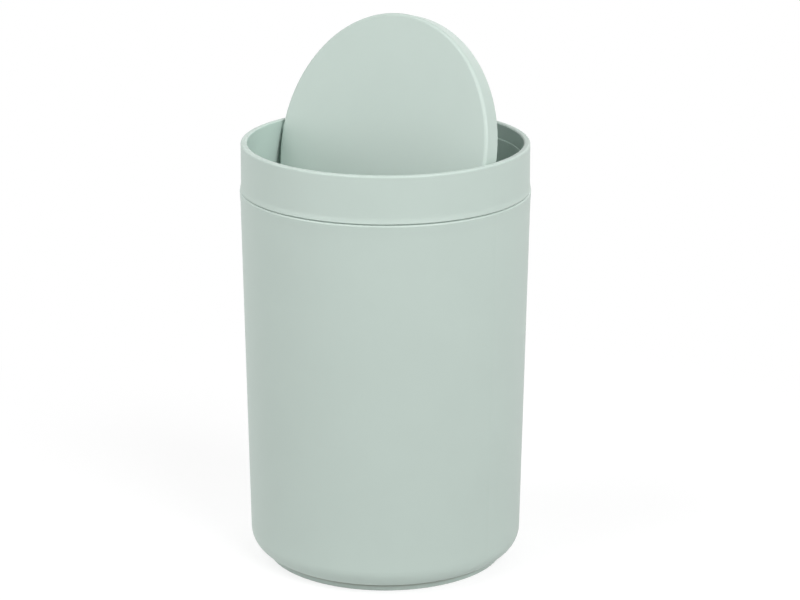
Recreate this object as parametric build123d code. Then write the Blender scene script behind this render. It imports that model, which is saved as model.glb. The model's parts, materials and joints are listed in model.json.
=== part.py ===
"""Countertop trash can with a swing lid, in millimetres.

A drafted, round-cornered can stands on a foot ring. A collar plugs into its mouth and lifts off for
emptying. A thick round lid swings between two pins in the collar. Closed, it lies flush with the rim
and its back half rests on three pads. Pushed down at the front, it tips by lid_full_angle until its
underside meets the ends of the two outer pads, and its heavier back half brings it down again.

Frame: +Z up, origin on the table at the centre of the foot. The hinge line runs along X, and the side
of the lid that is pushed down faces -Y. The lid is exported tipped open by lid_open_angle.
"""

from build123d import *
from math import cos, hypot, radians, sin, tan
import os

# ---- driving dimensions -------------------------------------------------------------------------

# can
can_height = 173.8          # table to the can's top edge, where the seam shows
can_mouth_radius = 65.6     # outside, at the top edge, before the lip's flare
can_draft = 1.05            # degrees, the can narrows downwards
can_wall = 2.2
can_corner_radius = 9.3     # outside round between the wall and the bottom
can_floor = 2.4
can_lip_height = 6.0        # the top band of the wall, which flares outwards
can_lip_flare = 0.22
can_lip_blend = 60.0        # radius that eases the flare into the wall
can_edge_round = 0.8        # outside the can's top edge
can_edge_chamfer = 0.4      # inside it, to lead the collar in
foot_inset = 7.4            # how far the foot ring stands in from the can's side
foot_height = 2.7
foot_width = 2.4
foot_edge_round = 0.5
gate_dish_radius = 6.0      # shallow dish in the underside, round the moulding gate
gate_dish_depth = 0.6
gate_nub_radius = 1.2
gate_nub_height = 0.4

# collar
collar_height = 21.7        # from the can's top edge to the rim
rim_inset = 0.52            # how much narrower the rim is than the can's mouth
rim_wall = 2.9
rim_outer_round = 0.9
rim_inner_round = 0.6
collar_draft = 0.25         # degrees, the collar widens downwards
collar_lip_height = 2.4     # the bottom band of the collar, which flares to meet the can
collar_lip_flare = 0.45
collar_lip_blend = 8.0
collar_edge_round = 0.3
seam_gap = 0.3              # height of the shadow line between the collar and the can
seam_depth = 1.0            # how far the shadow line runs in from the collar's surface
plug_depth = 10.0           # how far the collar reaches down inside the can
plug_wall = 1.7
plug_clearance = 0.15
plug_web = 2.2              # height of the web that joins the plug to the collar's wall
plug_lead_in = 0.6

# back half of the collar's wall, round the side of the lid that tips up
shoulder_depth = 7.3        # from the rim down to where this half is thicker
shoulder_gap = 0.6          # between the closed lid's side and the thicker wall
shoulder_edge_round = 0.2
pad_seat_gap = 0.1          # between the closed lid and its three rest pads
pad_catch = 0.8             # how far the pads reach in under the lid's edge
pad_arc = 20.0              # degrees
pad_height = 6.0
pad_edge_round = 0.2
stop_gap = 0.15             # between the fully tipped lid and the ends of the outer pads

# hinge bosses on the collar
boss_wall = 1.55            # round the pin
boss_gap = 0.45             # between the turning lid and the boss
boss_edge_chamfer = 0.3

# lid shell
lid_gap = 1.15              # between the lid's side and the rim
lid_thickness = 7.9
lid_face = 1.5
lid_skirt = 1.8
lid_seat = 0.8              # width of the step inside the skirt that the base plate sits on
lid_top_round = 1.4
lid_bottom_round = 0.3
lid_open_angle = 73.9       # degrees, how far open the lid is exported
lid_full_angle = 82.0       # degrees, where the ends of the outer pads stop it
lid_rib_width = 1.2
lid_rib_height = 1.0
lid_rib_rings = 2
lid_rib_spokes = 12

# lid base plate
base_inset = 0.3            # the plate lies this far inside the skirt's lower edge
base_clearance = 0.15
base_edge_chamfer = 0.3
peg_count = 6
peg_inset = 7.4             # from the plate's seat to the pegs' circle
peg_radius = 1.5
peg_clearance = 0.05
peg_length = 3.0
socket_wall = 1.3
ballast_rib_count = 7       # half-rings that make the back half of the lid the heavier one
ballast_rib_width = 3.6
ballast_rib_pitch = 5.0
ballast_rib_gap = 0.3       # below the ribs of the lid's shell
ballast_peg_gap = 6.0       # from the pegs' circle to the outermost half-ring
ballast_hinge_margin = 5.0  # the half-rings stop this far from the hinge line

# hinge pins
pin_radius = 1.25
pin_engagement = 1.8        # length of pin inside the collar's boss
pin_end_gap = 0.25
pin_clearance = 0.06        # running clearance in the collar
pin_seat_clearance = 0.03   # in the lid
pin_end_chamfer = 0.3
pin_cradle_length = 8.0
pin_cradle_width = 7.0
pin_head_length = 2.0
pin_head_width = 6.0
pin_base_gap = 0.15         # between the shank and the base plate
pin_head_gap = 0.1          # between the head and the base plate, on which it can't turn
pin_keeper = 1.4            # rib on the base plate behind the pin's head
pin_keeper_gap = 0.2

# ---- sizes that follow --------------------------------------------------------------------------

overcut = 1.0               # how far a cutting tool runs past the face it cuts through
rim_height = can_height + collar_height
rim_radius = can_mouth_radius - rim_inset
rim_inner_radius = rim_radius - rim_wall
rim_wall_middle = rim_radius - rim_wall / 2
plug_bottom = can_height - plug_depth

lid_radius = rim_inner_radius - lid_gap
pivot_height = rim_height - lid_thickness / 2
lid_underside = rim_height - lid_thickness
lid_face_underside = rim_height - lid_face
lid_face_middle = rim_height - lid_face / 2
lid_socket_radius = lid_radius - lid_skirt
lid_cavity_radius = lid_socket_radius - lid_seat
lid_swing_radius = hypot(lid_radius, lid_thickness / 2)
base_bottom = lid_underside + base_inset
base_top = pivot_height - pin_radius - pin_base_gap
base_middle = (base_bottom + base_top) / 2
peg_circle_radius = lid_socket_radius - peg_inset
ballast_top = lid_face_underside - lid_rib_height - ballast_rib_gap
ballast_radii = [peg_circle_radius - ballast_peg_gap - ballast_rib_pitch * i
                 for i in range(ballast_rib_count)]
cradle_end = lid_cavity_radius + lid_seat / 2
cradle_start = cradle_end - pin_cradle_length
head_back = cradle_start - pin_head_length - pin_keeper_gap
pin_head_half = pivot_height - base_top - pin_head_gap

shoulder_height = rim_height - shoulder_depth
shoulder_radius = lid_radius + shoulder_gap
pad_top = lid_underside - pad_seat_gap
pad_bottom = pad_top - pad_height
pad_radius = lid_radius - pad_catch
pad_drop = pivot_height - pad_top
full_angle = radians(lid_full_angle)
stop_line = (lid_thickness / 2 + stop_gap - pad_drop * cos(full_angle)) / sin(full_angle)
boss_radius = pin_radius + boss_wall
boss_face = lid_swing_radius + boss_gap
pin_tip = boss_face + pin_engagement


def can_radius(height):
    """Outside radius of the can's plain wall at a height above the table."""
    return can_mouth_radius - (can_height - height) * tan(radians(can_draft))


def can_bore(height):
    """Inside radius of the can at a height above the table."""
    return can_radius(height) - can_wall


def plug_radius(height):
    """Outside radius of whatever reaches down into the can from the collar."""
    return can_bore(height) - plug_clearance


def turned(*points):
    """A face from (radius, height) points, on the XZ plane, ready to be turned about Z."""
    return Plane.XZ * make_face(Polyline(*points, close=True))


def corner(face, radius, height):
    """The vertices of a turned face that lie at this radius and height."""
    return [v for v in face.vertices() if hypot(v.X - radius, v.Z - height) < 1e-6]


def disc(radius, bottom, top):
    """A plain disc about Z between two heights."""
    return Pos(0, 0, (bottom + top) / 2) * Cylinder(radius, top - bottom)


def ring(inner_radius, outer_radius, bottom, top):
    """A plain ring about Z between two heights."""
    return disc(outer_radius, bottom, top) - disc(inner_radius, bottom - overcut, top + overcut)


def block(x_range, y_range, z_range):
    """A rectangular block between two limits on each axis."""
    ranges = (x_range, y_range, z_range)
    size = [high - low for low, high in ranges]
    middle = [(high + low) / 2 for low, high in ranges]
    return Pos(*middle) * Box(*size)


def hinge_rod(radius, start, end):
    """A round bar on the hinge line, at the +X end, between two distances from the centre."""
    return Pos((start + end) / 2, 0, pivot_height) * Rot(0, 90, 0) * Cylinder(radius, end - start)


def both_ends(shape):
    """A shape made at the +X end of the hinge line, and the same at the -X end."""
    return [shape, Rot(0, 0, 180) * shape]


# ---- can ----------------------------------------------------------------------------------------


def can_outside():
    """Drafted wall, round bottom corner and flared lip, as a solid of revolution."""
    lip_base = can_height - can_lip_height
    lip_radius = can_mouth_radius + can_lip_flare
    profile = turned(
        (0, foot_height),
        (can_radius(foot_height), foot_height),
        (can_radius(lip_base), lip_base),
        (lip_radius, can_height),
        (0, can_height),
    )
    profile = fillet(corner(profile, can_radius(foot_height), foot_height), can_corner_radius)
    profile = fillet(corner(profile, can_radius(lip_base), lip_base), can_lip_blend)
    profile = fillet(corner(profile, lip_radius, can_height), can_edge_round)
    return revolve(profile, Axis.Z)


def can_inside():
    """The space inside the can, whose corner keeps the wall's thickness round the bend."""
    floor_top = foot_height + can_floor
    profile = turned(
        (0, floor_top),
        (can_bore(floor_top), floor_top),
        (can_bore(can_height), can_height),
        (can_bore(can_height), can_height + overcut),
        (0, can_height + overcut),
    )
    profile = fillet(corner(profile, can_bore(floor_top), floor_top), can_corner_radius - can_wall)
    return revolve(profile, Axis.Z)


def make_can_body():
    """The can's shell with a foot ring and a gate mark under its floor."""
    shell = can_outside() - can_inside()
    top_edges = shell.edges().filter_by(GeomType.CIRCLE).group_by(Axis.Z)[-1]
    shell = chamfer(top_edges.sort_by(SortBy.RADIUS)[0], can_edge_chamfer)

    foot_radius = can_radius(foot_height) - foot_inset
    foot = ring(foot_radius - foot_width, foot_radius, 0, foot_height + can_floor / 2)
    foot = fillet(foot.edges().group_by(Axis.Z)[0], foot_edge_round)
    dish_top = foot_height + gate_dish_depth
    dish = disc(gate_dish_radius, foot_height - overcut, dish_top)
    nub = disc(gate_nub_radius, dish_top - gate_nub_height, dish_top + gate_nub_height)
    return shell + foot - dish + nub


# ---- collar -------------------------------------------------------------------------------------


def collar_wall():
    """The band above the seam, with a flared lower lip that stands on the can's top edge."""
    lip_top = can_height + seam_gap + collar_lip_height
    lip_top_radius = rim_radius + (rim_height - lip_top) * tan(radians(collar_draft))
    lip_radius = lip_top_radius + collar_lip_flare
    seam_top = can_height + seam_gap
    profile = turned(
        (rim_inner_radius, can_height),
        (lip_radius - seam_depth, can_height),
        (lip_radius - seam_depth, seam_top),
        (lip_radius, seam_top),
        (lip_top_radius, lip_top),
        (rim_radius, rim_height),
        (rim_inner_radius, rim_height),
    )
    profile = fillet(corner(profile, lip_radius, seam_top), collar_edge_round)
    profile = fillet(corner(profile, lip_top_radius, lip_top), collar_lip_blend)
    profile = fillet(corner(profile, rim_radius, rim_height), rim_outer_round)
    profile = fillet(corner(profile, rim_inner_radius, rim_height), rim_inner_round)
    return revolve(profile, Axis.Z)


def plug():
    """The skirt that reaches down into the can, and the web that carries it."""
    profile = turned(
        (plug_radius(plug_bottom) - plug_lead_in, plug_bottom),
        (plug_radius(plug_bottom), plug_bottom + plug_lead_in),
        (plug_radius(can_height), can_height),
        (rim_wall_middle, can_height),
        (rim_wall_middle, can_height + plug_web),
        (rim_inner_radius, can_height + plug_web),
        (plug_radius(can_height) - plug_wall, can_height),
        (plug_radius(plug_bottom) - plug_wall, plug_bottom),
    )
    return revolve(profile, Axis.Z)


def shoulder():
    """The extra thickness of the wall's back half, from a little above the closed lid's underside."""
    profile = turned(
        (shoulder_radius, can_height),
        (shoulder_radius, shoulder_height),
        (rim_wall_middle, shoulder_height),
        (rim_wall_middle, can_height),
    )
    profile = fillet(corner(profile, shoulder_radius, shoulder_height), shoulder_edge_round)
    return revolve(profile, Axis.Z, 180)


def rest_pads():
    """Three pads under the closed lid's edge, two by the hinge line and one at the back."""
    profile = turned(
        (shoulder_radius, pad_bottom),
        (pad_radius, pad_bottom + shoulder_radius - pad_radius),
        (pad_radius, pad_top),
        (rim_wall_middle, pad_top),
        (rim_wall_middle, pad_bottom),
    )
    profile = fillet(corner(profile, pad_radius, pad_top), pad_edge_round)
    pad = revolve(profile, Axis.Z, pad_arc)
    pads = Part() + [Rot(0, 0, turn) * pad for turn in (0, 90 - pad_arc / 2, 180 - pad_arc)]
    return pads - block((-rim_radius, rim_radius), (-rim_radius, stop_line), (pad_bottom, rim_height))


def hinge_boss():
    """Round boss on the inside of the collar's wall, round one hinge pin."""
    boss = hinge_rod(boss_radius, boss_face, rim_wall_middle)
    return chamfer(boss.edges().group_by(Axis.X)[0], boss_edge_chamfer)


def make_collar():
    """Wall, plug, shoulder, pads and hinge bosses in one moulding, with two blind pin holes."""
    pin_hole = hinge_rod(pin_radius + pin_clearance, boss_face - overcut, pin_tip + pin_end_gap)
    collar = collar_wall() + plug() + shoulder() + rest_pads() + both_ends(hinge_boss())
    return collar - both_ends(pin_hole)


# ---- lid ----------------------------------------------------------------------------------------


def peg_places():
    """Centres of the base plate's pegs, evenly round the lid and clear of the hinge line."""
    turn = 360 / peg_count
    return [Rot(0, 0, turn * (i + 0.5)) * Pos(peg_circle_radius, 0, 0) for i in range(peg_count)]


def stiffening_ribs():
    """Two rings and a fan of spokes under the lid's face."""
    bottom = lid_face_underside - lid_rib_height
    half = lid_rib_width / 2
    pitch = lid_cavity_radius / (lid_rib_rings + 1)
    ribs = [ring(pitch * i - half, pitch * i + half, bottom, lid_face_middle)
            for i in range(1, lid_rib_rings + 1)]
    spoke = block((pitch, cradle_end), (-half, half), (bottom, lid_face_middle))
    turn = 360 / lid_rib_spokes
    return ribs + [Rot(0, 0, turn * (i + 0.5)) * spoke for i in range(lid_rib_spokes)]


def make_lid_top():
    """The lid's shell: face, side, ribs, open cradles for the pins and sockets for the pegs."""
    shell = disc(lid_radius, lid_underside, rim_height)
    shell = fillet(shell.edges().group_by(Axis.Z)[-1], lid_top_round)
    shell = fillet(shell.edges().group_by(Axis.Z)[0], lid_bottom_round)
    shell -= disc(lid_cavity_radius, lid_underside - overcut, lid_face_underside)
    shell -= disc(lid_socket_radius, lid_underside - overcut, base_top)

    fitting_bottom = base_top + base_clearance
    cradle = block((cradle_start, cradle_end), (-pin_cradle_width / 2, pin_cradle_width / 2),
                   (fitting_bottom, lid_face_middle))
    sockets = [place * disc(peg_radius + socket_wall, fitting_bottom, lid_face_middle)
               for place in peg_places()]
    shell = shell + stiffening_ribs() + both_ends(cradle) + sockets

    head_half = pin_head_width / 2 + pin_keeper_gap
    head_room = block((head_back - pin_keeper, cradle_start), (-head_half, head_half),
                      (lid_underside, lid_face_underside))
    hole_radius = pin_radius + pin_seat_clearance
    pin_hole = hinge_rod(hole_radius, head_back, lid_radius + overcut)
    pin_slot = block((head_back, lid_cavity_radius), (-hole_radius, hole_radius),
                     (base_top, pivot_height))
    peg_holes = [place * disc(peg_radius + peg_clearance, base_top, base_top + peg_length)
                 for place in peg_places()]
    return shell - both_ends(head_room) - both_ends(pin_hole) - both_ends(pin_slot) - peg_holes


def ballast_ribs():
    """Half-rings on the back half of the base plate, so that the lid falls shut by itself."""
    half = ballast_rib_width / 2
    ribs = [ring(radius - half, radius + half, base_middle, ballast_top)
            for radius in ballast_radii]
    back = block((-peg_circle_radius, peg_circle_radius), (ballast_hinge_margin, peg_circle_radius),
                 (base_middle, ballast_top))
    return (Part() + ribs) & back


def make_lid_base():
    """The plate that closes the lid from below and keeps the pins in their cradles."""
    plate = disc(lid_socket_radius - base_clearance, base_bottom, base_top)
    plate = chamfer(plate.edges().group_by(Axis.Z)[0], base_edge_chamfer)
    pegs = [place * disc(peg_radius, base_middle, base_top + peg_length - peg_clearance)
            for place in peg_places()]
    keeper = block((head_back - pin_keeper, head_back), (-pin_head_width / 2, pin_head_width / 2),
                   (base_middle, pivot_height + pin_radius / 2))
    return plate + pegs + ballast_ribs() + both_ends(keeper)


def make_hinge_pin():
    """One pin with a flat head, pushed outwards through the lid's side into the collar."""
    shank = hinge_rod(pin_radius, cradle_start, pin_tip)
    shank = chamfer(shank.edges().group_by(Axis.X)[-1], pin_end_chamfer)
    head = block((cradle_start - pin_head_length, cradle_start),
                 (-pin_head_width / 2, pin_head_width / 2),
                 (pivot_height - pin_head_half, pivot_height + pin_head_half))
    return shank + head


def tip_open(shape):
    """Turns a piece of the closed lid about the hinge line to the exported pose."""
    hinge = Pos(0, 0, pivot_height)
    return hinge * Rot(lid_open_angle, 0, 0) * hinge.inverse() * shape


# ---- export -------------------------------------------------------------------------------------

pin_right, pin_left = both_ends(make_hinge_pin())
nodes = {
    "can_body": make_can_body(),
    "collar": make_collar(),
    "lid_top": tip_open(make_lid_top()),
    "lid_base": tip_open(make_lid_base()),
    "hinge_pin_right": tip_open(pin_right),
    "hinge_pin_left": tip_open(pin_left),
}

os.makedirs("parts", exist_ok=True)
for name, shape in nodes.items():
    export_step(shape, f"parts/{name}.step")
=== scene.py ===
"""Finish, stage, light and camera for a countertop trash can with a swing lid.

Every piece of the can is a moulding or a steel pin that the frame already holds, so each section below
gives one piece its finish, in the order in which the can is put together. Lengths are metres.
"""

import json
from math import cos, radians, sin

import bpy
from mathutils import Matrix, Vector


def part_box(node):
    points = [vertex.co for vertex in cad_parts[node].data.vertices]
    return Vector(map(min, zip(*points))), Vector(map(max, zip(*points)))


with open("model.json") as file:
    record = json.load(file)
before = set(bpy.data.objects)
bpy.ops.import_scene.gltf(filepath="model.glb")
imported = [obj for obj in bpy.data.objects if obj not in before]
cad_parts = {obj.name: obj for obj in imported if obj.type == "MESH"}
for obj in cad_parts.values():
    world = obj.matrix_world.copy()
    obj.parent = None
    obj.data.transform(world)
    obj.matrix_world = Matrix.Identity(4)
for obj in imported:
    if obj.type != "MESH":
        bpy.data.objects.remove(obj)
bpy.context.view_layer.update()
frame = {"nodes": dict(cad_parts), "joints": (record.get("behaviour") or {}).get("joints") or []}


# ---- can ----------------------------------------------------------------------------------------
# The can is one injection moulding in sage-green polypropylene, drawn off its core upwards. Its
# outside carries the mould's fine spark-eroded grain, and the inside is smoother. The foot ring and
# the lip are rubbed a little, as they are on a bin that is emptied and put back.


class Shade:
    """One output of a shader node. Arithmetic on it adds Math nodes, and node() adds any other kind."""

    def __init__(self, tree, socket=None):
        self.tree = tree
        self.socket = socket

    def node(self, kind, settings=None, values=None, out=0):
        """A node of this kind: its settings first, then numbers, colours or links for its sockets."""
        made = self.tree.nodes.new(kind)
        for name, value in (settings or {}).items():
            setattr(made, name, value)
        for name, value in (values or {}).items():
            if isinstance(value, Shade):
                self.tree.links.new(value.socket, made.inputs[name])
            else:
                made.inputs[name].default_value = value
        return Shade(self.tree, made.outputs[out] if made.outputs else None)

    def math(self, operation, first, second=0.0):
        return self.node("ShaderNodeMath", {"operation": operation}, {0: first, 1: second})

    def __add__(self, other):
        return self.math("ADD", self, other)

    def __radd__(self, other):
        return self.math("ADD", other, self)

    def __sub__(self, other):
        return self.math("SUBTRACT", self, other)

    def __rsub__(self, other):
        return self.math("SUBTRACT", other, self)

    def __mul__(self, other):
        return self.math("MULTIPLY", self, other)

    def __rmul__(self, other):
        return self.math("MULTIPLY", other, self)

    def ramp(self, low, high):
        """0 where this is under low, 1 where it is over high, and an eased step between."""
        settings = {"interpolation_type": "SMOOTHSTEP", "clamp": True}
        return self.node("ShaderNodeMapRange", settings, {"Value": self, "From Min": low, "From Max": high})


def new_material(name):
    """An empty node material, its Principled shader's sockets by name, and a Shade to build on."""
    material = bpy.data.materials.new(name)
    material.use_nodes = True
    shader = next(n for n in material.node_tree.nodes if n.type == "BSDF_PRINCIPLED")
    return material, shader.inputs, Shade(material.node_tree)


def feed(shade, values, sockets):
    """Links or sets the shader's sockets by name."""
    for name, value in values.items():
        if isinstance(value, Shade):
            shade.tree.links.new(value.socket, sockets[name])
        else:
            sockets[name].default_value = value


def noise(shade, place, size, detail=2.0, rough=0.5):
    """Noise from about 0 to 1 whose lumps are about this size."""
    values = {"Vector": place, "Scale": 1 / size, "Detail": detail, "Roughness": rough}
    return shade.node("ShaderNodeTexNoise", None, values)


def grey(shade, value):
    """A grey colour from a number."""
    return shade.node("ShaderNodeCombineColor", None, {"Red": value, "Green": value, "Blue": value})


def mixed(shade, factor, first, second, blend="MIX"):
    """Two colours through a Mix node, whose colours go into sockets 6 and 7 and come out of socket 2."""
    settings = {"data_type": "RGBA", "blend_type": blend}
    return shade.node("ShaderNodeMix", settings, {"Factor": factor, 6: first, 7: second}, 2)


def object_place(shade):
    """Object coordinates."""
    return shade.node("ShaderNodeTexCoord", None, None, "Object")


def height_of(shade, where):
    """Z of a place."""
    return shade.node("ShaderNodeSeparateXYZ", None, {"Vector": where}, "Z")


def distance_out(shade, where):
    """Distance of a place from the Z axis."""
    flat = shade.node("ShaderNodeVectorMath", {"operation": "MULTIPLY"}, {0: where, 1: (1, 1, 0)})
    return shade.node("ShaderNodeVectorMath", {"operation": "LENGTH"}, {0: flat}, "Value")


resin_colour = (0.489, 0.577, 0.532, 1)     # sage green, linear light
shaded_inside_colour = (0.470, 0.577, 0.530, 1)  # deeper green painted on the polished insides as their shade
rubbed_colour = (0.600, 0.690, 0.645, 1)    # paler where hands and the table rub it
crease_shade_colour = (0.22, 0.22, 0.18, 1)        # painted shade for the crease over the foot ring
resin_roughness = 0.47
resin_specular = 0.45
grain_size = 0.00032
grain_depth = 0.00003
polish_grain = 0.8                          # how much of the grain a polished core leaves out
polish_gloss = 0.08                         # how much roughness it takes away
peel_size = 0.0045                          # of the orange peel under the grain
peel_depth = 0.00003
mottle_size = 0.030
mottle_tone = 0.05                          # how far the mottling spreads the colour
mottle_gloss = 0.06                         # and the roughness
breakup_size = 0.0022                       # of the patches that rubbing leaves along an edge
breakup_low = 0.35
breakup_high = 0.65
rubbed_paleness = 0.3
rubbed_gloss = 0.04


def moulded_plastic(name, place, rubbed=None, smooth_and_shaded=None, shaded_crease=None):
    """Satin moulded resin: spark-eroded grain, orange peel, faint mottling and paler rubbed edges.

    place gives the pattern's coordinates. The others give masks from 0 to 1, of worn edges, of the
    sides that came off a polished core, whose colour is also painted a deeper green as shade, and of
    painted shade in a crease, and are left out where there are none.
    """
    material, sockets, shade = new_material(name)
    where = place(shade)
    worn, polished_and_shaded, painted_shade = [mask(shade, where) if mask else 0.0 for mask in (rubbed, smooth_and_shaded, shaded_crease)]

    mottle = noise(shade, where, mottle_size, 3.0)
    breakup = noise(shade, where, breakup_size, 4.0, 0.6)
    wear = worn * breakup.ramp(breakup_low, breakup_high)
    # the polished insides take a deeper green, which is painted shade
    resin = mixed(shade, polished_and_shaded, resin_colour, shaded_inside_colour)
    tone = mixed(shade, 1.0, resin, grey(shade, 1 - mottle_tone / 2 + mottle_tone * mottle), "MULTIPLY")
    handled = mixed(shade, rubbed_paleness * wear, tone, rubbed_colour)
    # painted shade darkens the colour in the crease
    colour = mixed(shade, painted_shade, handled, crease_shade_colour)

    grain = noise(shade, where, grain_size) * (1 - polish_grain * polished_and_shaded)
    peel = noise(shade, where, peel_size, 1.0)
    height = grain * grain_depth + peel * peel_depth
    bump = shade.node("ShaderNodeBump", None, {"Height": height, "Strength": 1.0, "Distance": 1.0})

    roughness = (resin_roughness + mottle_gloss * (mottle - 0.5)
                 - polish_gloss * polished_and_shaded - rubbed_gloss * wear)
    feed(shade, {"Base Color": colour, "Roughness": roughness, "Normal": bump,
                 "Specular IOR Level": resin_specular}, sockets)
    return material


can_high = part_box("can_body")[1]
can_lip_band = 0.0009                       # height of the rubbed band at the can's lip
can_foot_band = 0.0022                      # and at the foot ring
can_slope = 0.01833                         # how much the wall leans out for each metre of height
corner_centre_radius = 0.05311              # middle of the round bottom corner, where the wall meets
corner_centre_height = 0.0120               # the floor
can_wall_middle = 0.0082                    # the wall lies round this distance from that middle
can_wall_blur = 0.0002
# The crease over the foot ring is darkened with painted shade, which these place and spread.
crease_radius = 0.05506                     # where the foot ring meets the can's rounded bottom
crease_height = 0.00286
crease_width = 0.0002
crease_reach = 0.0014
crease_shade_strength = 0.6


def can_rubbed(shade, where):
    """The foot ring and the lip."""
    height = height_of(shade, where)
    foot = 1 - height.ramp(0.0, can_foot_band)
    return foot + height.ramp(can_high.z - can_lip_band, can_high.z)


def can_smooth_and_shaded(shade, where):
    """The inside of the wall, the bottom corner and the floor.

    All three keep the same distances from the middle of the corner's round, once the wall's lean is
    taken out: the inside face is nearer than the middle of the wall, and the outside face is not.
    The mask makes these insides smoother, and paints their colour a deeper green as shade.
    """
    height = height_of(shade, where)
    beside = distance_out(shade, where) - can_slope * height - corner_centre_radius
    beside = shade.math("MAXIMUM", beside, 0.0)
    below = shade.math("MAXIMUM", corner_centre_height - height, 0.0)
    off_corner = shade.math("SQRT", beside * beside + below * below)
    return 1 - off_corner.ramp(can_wall_middle - can_wall_blur, can_wall_middle + can_wall_blur)


def can_crease_shade(shade, where):
    """Most in the crease over the foot ring, and gone a little more than a millimetre from it."""
    # Painted shade for the crease, where the foot ring sits under the overhang of the rounded bottom.
    beside = distance_out(shade, where) - crease_radius
    above = height_of(shade, where) - crease_height
    off_crease = shade.math("SQRT", beside * beside + above * above)
    return crease_shade_strength * (1 - off_crease.ramp(crease_width, crease_reach))


def dress(node, material):
    """Gives a piece its finish in every slot that it has."""
    for slot in frame["nodes"][node].material_slots:
        slot.material = material


dress("can_body", moulded_plastic("can_resin", object_place, can_rubbed, can_smooth_and_shaded, can_crease_shade))


# ---- hinge pins ---------------------------------------------------------------------------------
# Two drawn steel pins, with flat heads so that they turn with the lid. They go in through the lid's
# side before its base plate is closed, and their ends turn in the collar's bosses.

steel_colour = (0.56, 0.57, 0.58, 1)
steel_roughness = 0.32
draw_line_size = 0.00025
draw_line_stretch = 0.04                    # squeezes X in the pattern, which draws it out into lines
draw_line_depth = 0.00002
draw_line_bump = 0.3
draw_line_gloss = 0.12                      # how far the lines spread the roughness
dulling_size = 0.0016
dulling_gloss = 0.10


def drawn_steel(name):
    """Bright wire with fine lines along its length, which is X, and a little dulling in patches."""
    material, sockets, shade = new_material(name)
    where = object_place(shade)
    along = shade.node("ShaderNodeVectorMath", {"operation": "MULTIPLY"},
                       {0: where, 1: (draw_line_stretch, 1, 1)})
    lines = noise(shade, along, draw_line_size)
    dulling = noise(shade, where, dulling_size, 3.0)
    bump = shade.node("ShaderNodeBump", None, {"Height": lines, "Strength": draw_line_bump,
                                               "Distance": draw_line_depth})
    roughness = steel_roughness + draw_line_gloss * lines + dulling_gloss * dulling
    feed(shade, {"Base Color": steel_colour, "Metallic": 1.0, "Roughness": roughness,
                 "Normal": bump}, sockets)
    return material


pin_steel = drawn_steel("pin_steel")
for node in ("hinge_pin_right", "hinge_pin_left"):
    dress(node, pin_steel)


# ---- lid ----------------------------------------------------------------------------------------
# The lid is two mouldings in the can's resin: a shell with a flat face, and a ribbed plate pressed up
# into it on six pegs. The face has the can's grain, and its edges are rubbed where it is pushed.

lid_joint = next(joint for joint in frame["joints"] if joint["name"] == "lid_swing")
hinge_place = Vector(lid_joint["pos_m"])
shut_angle = radians(lid_joint["range_deg"][0])     # from how the lid stands to shut
lid_low, lid_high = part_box("lid_top")
lid_radius = (lid_high.x - lid_low.x) / 2
rim_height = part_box("collar")[1].z
lid_face = rim_height - hinge_place.z       # from the hinge line to the face, which shuts flush
lid_edge_band = 0.0009                      # width of the rubbed band round the face's edge


def lid_place(shade):
    """Object coordinates turned so that the hinge line is X, the face looks up Z and is centred."""
    turned_back = Matrix.Rotation(shut_angle, 3, "X") @ -hinge_place
    values = {"Vector": object_place(shade), "Rotation": (shut_angle, 0, 0), "Location": turned_back}
    return shade.node("ShaderNodeMapping", {"vector_type": "POINT"}, values)


def lid_rubbed(shade, where):
    """The rounded edge between the lid's face and its side."""
    at_side = distance_out(shade, where).ramp(lid_radius - lid_edge_band, lid_radius)
    return at_side * height_of(shade, where).ramp(lid_face - lid_edge_band, lid_face)


dress("lid_top", moulded_plastic("lid_resin", lid_place, lid_rubbed))
dress("lid_base", moulded_plastic("base_plate_resin", lid_place))


# ---- collar -------------------------------------------------------------------------------------
# The collar is a third moulding in the same resin. It drops into the can's mouth, carries the lid
# between two bosses, and is lifted off by its rim, which is where it is rubbed.

lid_running_gap = 0.00115                   # between the lid's side and the rim
rim_bore = lid_radius + lid_running_gap
rim_bore_start = 0.0001                     # how far outside the bore the polished core's finish and its painted shade fade
rim_bore_end = 0.0005
rim_band = 0.0008                           # height of the rubbed band at the rim


def collar_rubbed(shade, where):
    """The top of the rim."""
    return height_of(shade, where).ramp(rim_height - rim_band, rim_height)


def collar_smooth_and_shaded(shade, where):
    """The inside of the rim, the shoulder, and the inside of the plug."""
    # these insides are smoother, and their colour is painted a deeper green as shade
    return 1 - distance_out(shade, where).ramp(rim_bore + rim_bore_start, rim_bore + rim_bore_end)


dress("collar", moulded_plastic("collar_resin", object_place, collar_rubbed, collar_smooth_and_shaded))


# ---- floor and surroundings ---------------------------------------------------------------------
# A wide white floor under white surroundings. The floor takes the can's soft shadow near its foot and
# is plain white further out. A paler mat under the can sends a little more light up to its foot.

floor_reach = 6.0
floor_corners = [(-floor_reach, -floor_reach, 0), (floor_reach, -floor_reach, 0),
                 (floor_reach, floor_reach, 0), (-floor_reach, floor_reach, 0)]
floor_albedo = 0.50
mat_albedo = 0.70
mat_radius = 0.075
mat_edge_blur = 0.010
shadow_reach = 0.14                         # the floor shows the can's shadow out to here
white_reach = 0.34                          # and is plain white from here on
shadow_depth = 0.28                         # how much of the floor's white comes from the lamps
floor_glow = 0.76                           # and how much of it stays in the deepest shadow
world_level = 0.21
white = (1, 1, 1, 1)


def seen_directly(shade):
    """1 for a ray that shows the surroundings: from the camera, off gloss or through glass."""
    rays = [shade.node("ShaderNodeLightPath", None, None, f"Is {kind} Ray")
            for kind in ("Camera", "Glossy", "Transmission")]
    return shade.math("MAXIMUM", shade.math("MAXIMUM", rays[0], rays[1]), rays[2])


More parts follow.
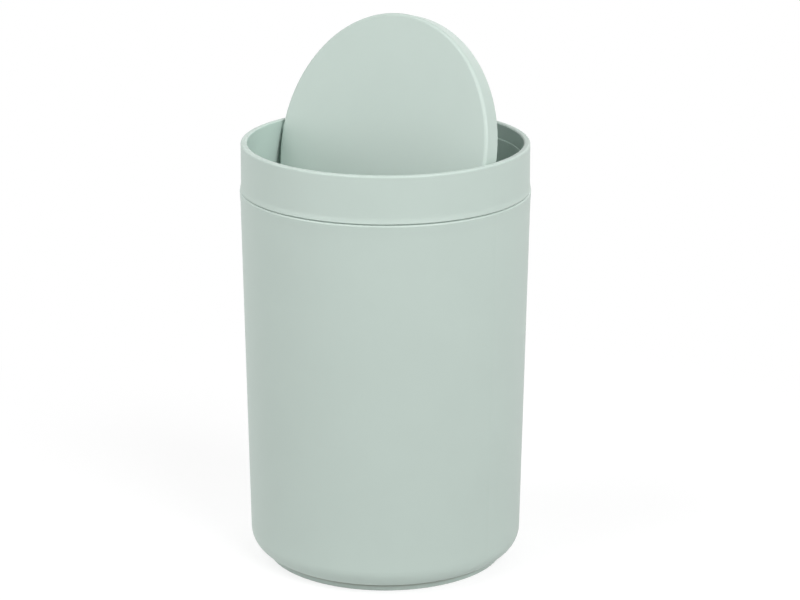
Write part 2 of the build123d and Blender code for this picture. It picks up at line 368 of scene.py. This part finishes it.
def floor_material():
    """Diffuse for light that bounces, paler near the can, and white with a soft shadow where seen."""
    material = bpy.data.materials.new("floor_white")
    material.use_nodes = True
    material.node_tree.nodes.clear()
    shade = Shade(material.node_tree)
    out = distance_out(shade, object_place(shade))
    off_mat = out.ramp(mat_radius - mat_edge_blur, mat_radius + mat_edge_blur)
    paleness = grey(shade, mat_albedo - (mat_albedo - floor_albedo) * off_mat)
    matt = shade.node("ShaderNodeBsdfDiffuse", None, {"Color": paleness})
    dim = shade.node("ShaderNodeBsdfDiffuse", None, {"Color": (shadow_depth,) * 3 + (1,)})
    glow = shade.node("ShaderNodeEmission", None, {"Color": white, "Strength": floor_glow})
    near = shade.node("ShaderNodeAddShader", None, {0: dim, 1: glow})
    far = shade.node("ShaderNodeEmission", None, {"Color": white, "Strength": 1.0})
    away = out.ramp(shadow_reach, white_reach)
    shown = shade.node("ShaderNodeMixShader", None, {0: away, 1: near, 2: far})
    surface = shade.node("ShaderNodeMixShader", None, {0: seen_directly(shade), 1: matt, 2: shown})
    shade.node("ShaderNodeOutputMaterial", None, {"Surface": surface})
    return material


floor_mesh = bpy.data.meshes.new("floor")
floor_mesh.from_pydata(floor_corners, [], [(0, 1, 2, 3)])
floor_mesh.materials.append(floor_material())
floor = bpy.data.objects.new("floor", floor_mesh)
bpy.context.scene.collection.objects.link(floor)

world = bpy.data.worlds.new("surroundings")
bpy.context.scene.world = world
world.use_nodes = True
world.node_tree.nodes.clear()
sky = Shade(world.node_tree)
lighting = sky.node("ShaderNodeBackground", None, {"Color": white, "Strength": world_level})
white_sky = sky.node("ShaderNodeBackground", None, {"Color": white, "Strength": 1.0})
both_skies = sky.node("ShaderNodeMixShader", None, {0: seen_directly(sky), 1: lighting, 2: white_sky})
sky.node("ShaderNodeOutputWorld", None, {"Surface": both_skies})


# ---- lamps and camera ---------------------------------------------------------------------------
# Soft boxes round the can, each placed by how far round from the camera and how high it stands. The
# camera stands a little over a metre away, to the right of the side of the lid that is pushed down.

front = 42.2                                # degrees from -Y to the camera, about Z
middle = Vector((0, 0, 0.13))               # what the lamps face
lamp_distance = 1.3
lamp_size = 0.9


def soft_box(name, azimuth, elevation, watts):
    """A square white lamp that faces the can, azimuth degrees round to the right of the camera."""
    around = radians(front - 90 + azimuth)
    up = radians(elevation)
    towards_lamp = Vector((cos(up) * cos(around), cos(up) * sin(around), sin(up)))
    light = bpy.data.lights.new(name, "AREA")
    light.shape = "SQUARE"
    light.size = lamp_size
    light.energy = watts
    lamp = bpy.data.objects.new(name, light)
    lamp.location = middle + lamp_distance * towards_lamp
    lamp.rotation_euler = towards_lamp.to_track_quat("Z", "Y").to_euler()
    bpy.context.scene.collection.objects.link(lamp)
    return lamp


soft_box("key_box", 40, 35, 14.5)
soft_box("left_top_box", -70, 50, 8.1)
soft_box("left_low_box", -60, 5, 5.6)
soft_box("back_box", 150, 20, 3.0)
far_side_box = soft_box("far_side_box", 190, 0, 6.5)
far_side_box.visible_glossy = False         # it fills the side away from the camera and adds no glint

camera_data = bpy.data.cameras.new("camera")
camera_data.lens = 125.2
camera_data.sensor_width = 36.0
camera_data.shift_x = 0.0183
camera = bpy.data.objects.new("camera", camera_data)
camera.location = (0.8173, -0.9014, 0.4938)
camera.rotation_euler = (radians(72.94), 0, radians(front))
bpy.context.scene.collection.objects.link(camera)
bpy.context.scene.camera = camera
bpy.context.scene.view_settings.view_transform = "Standard"
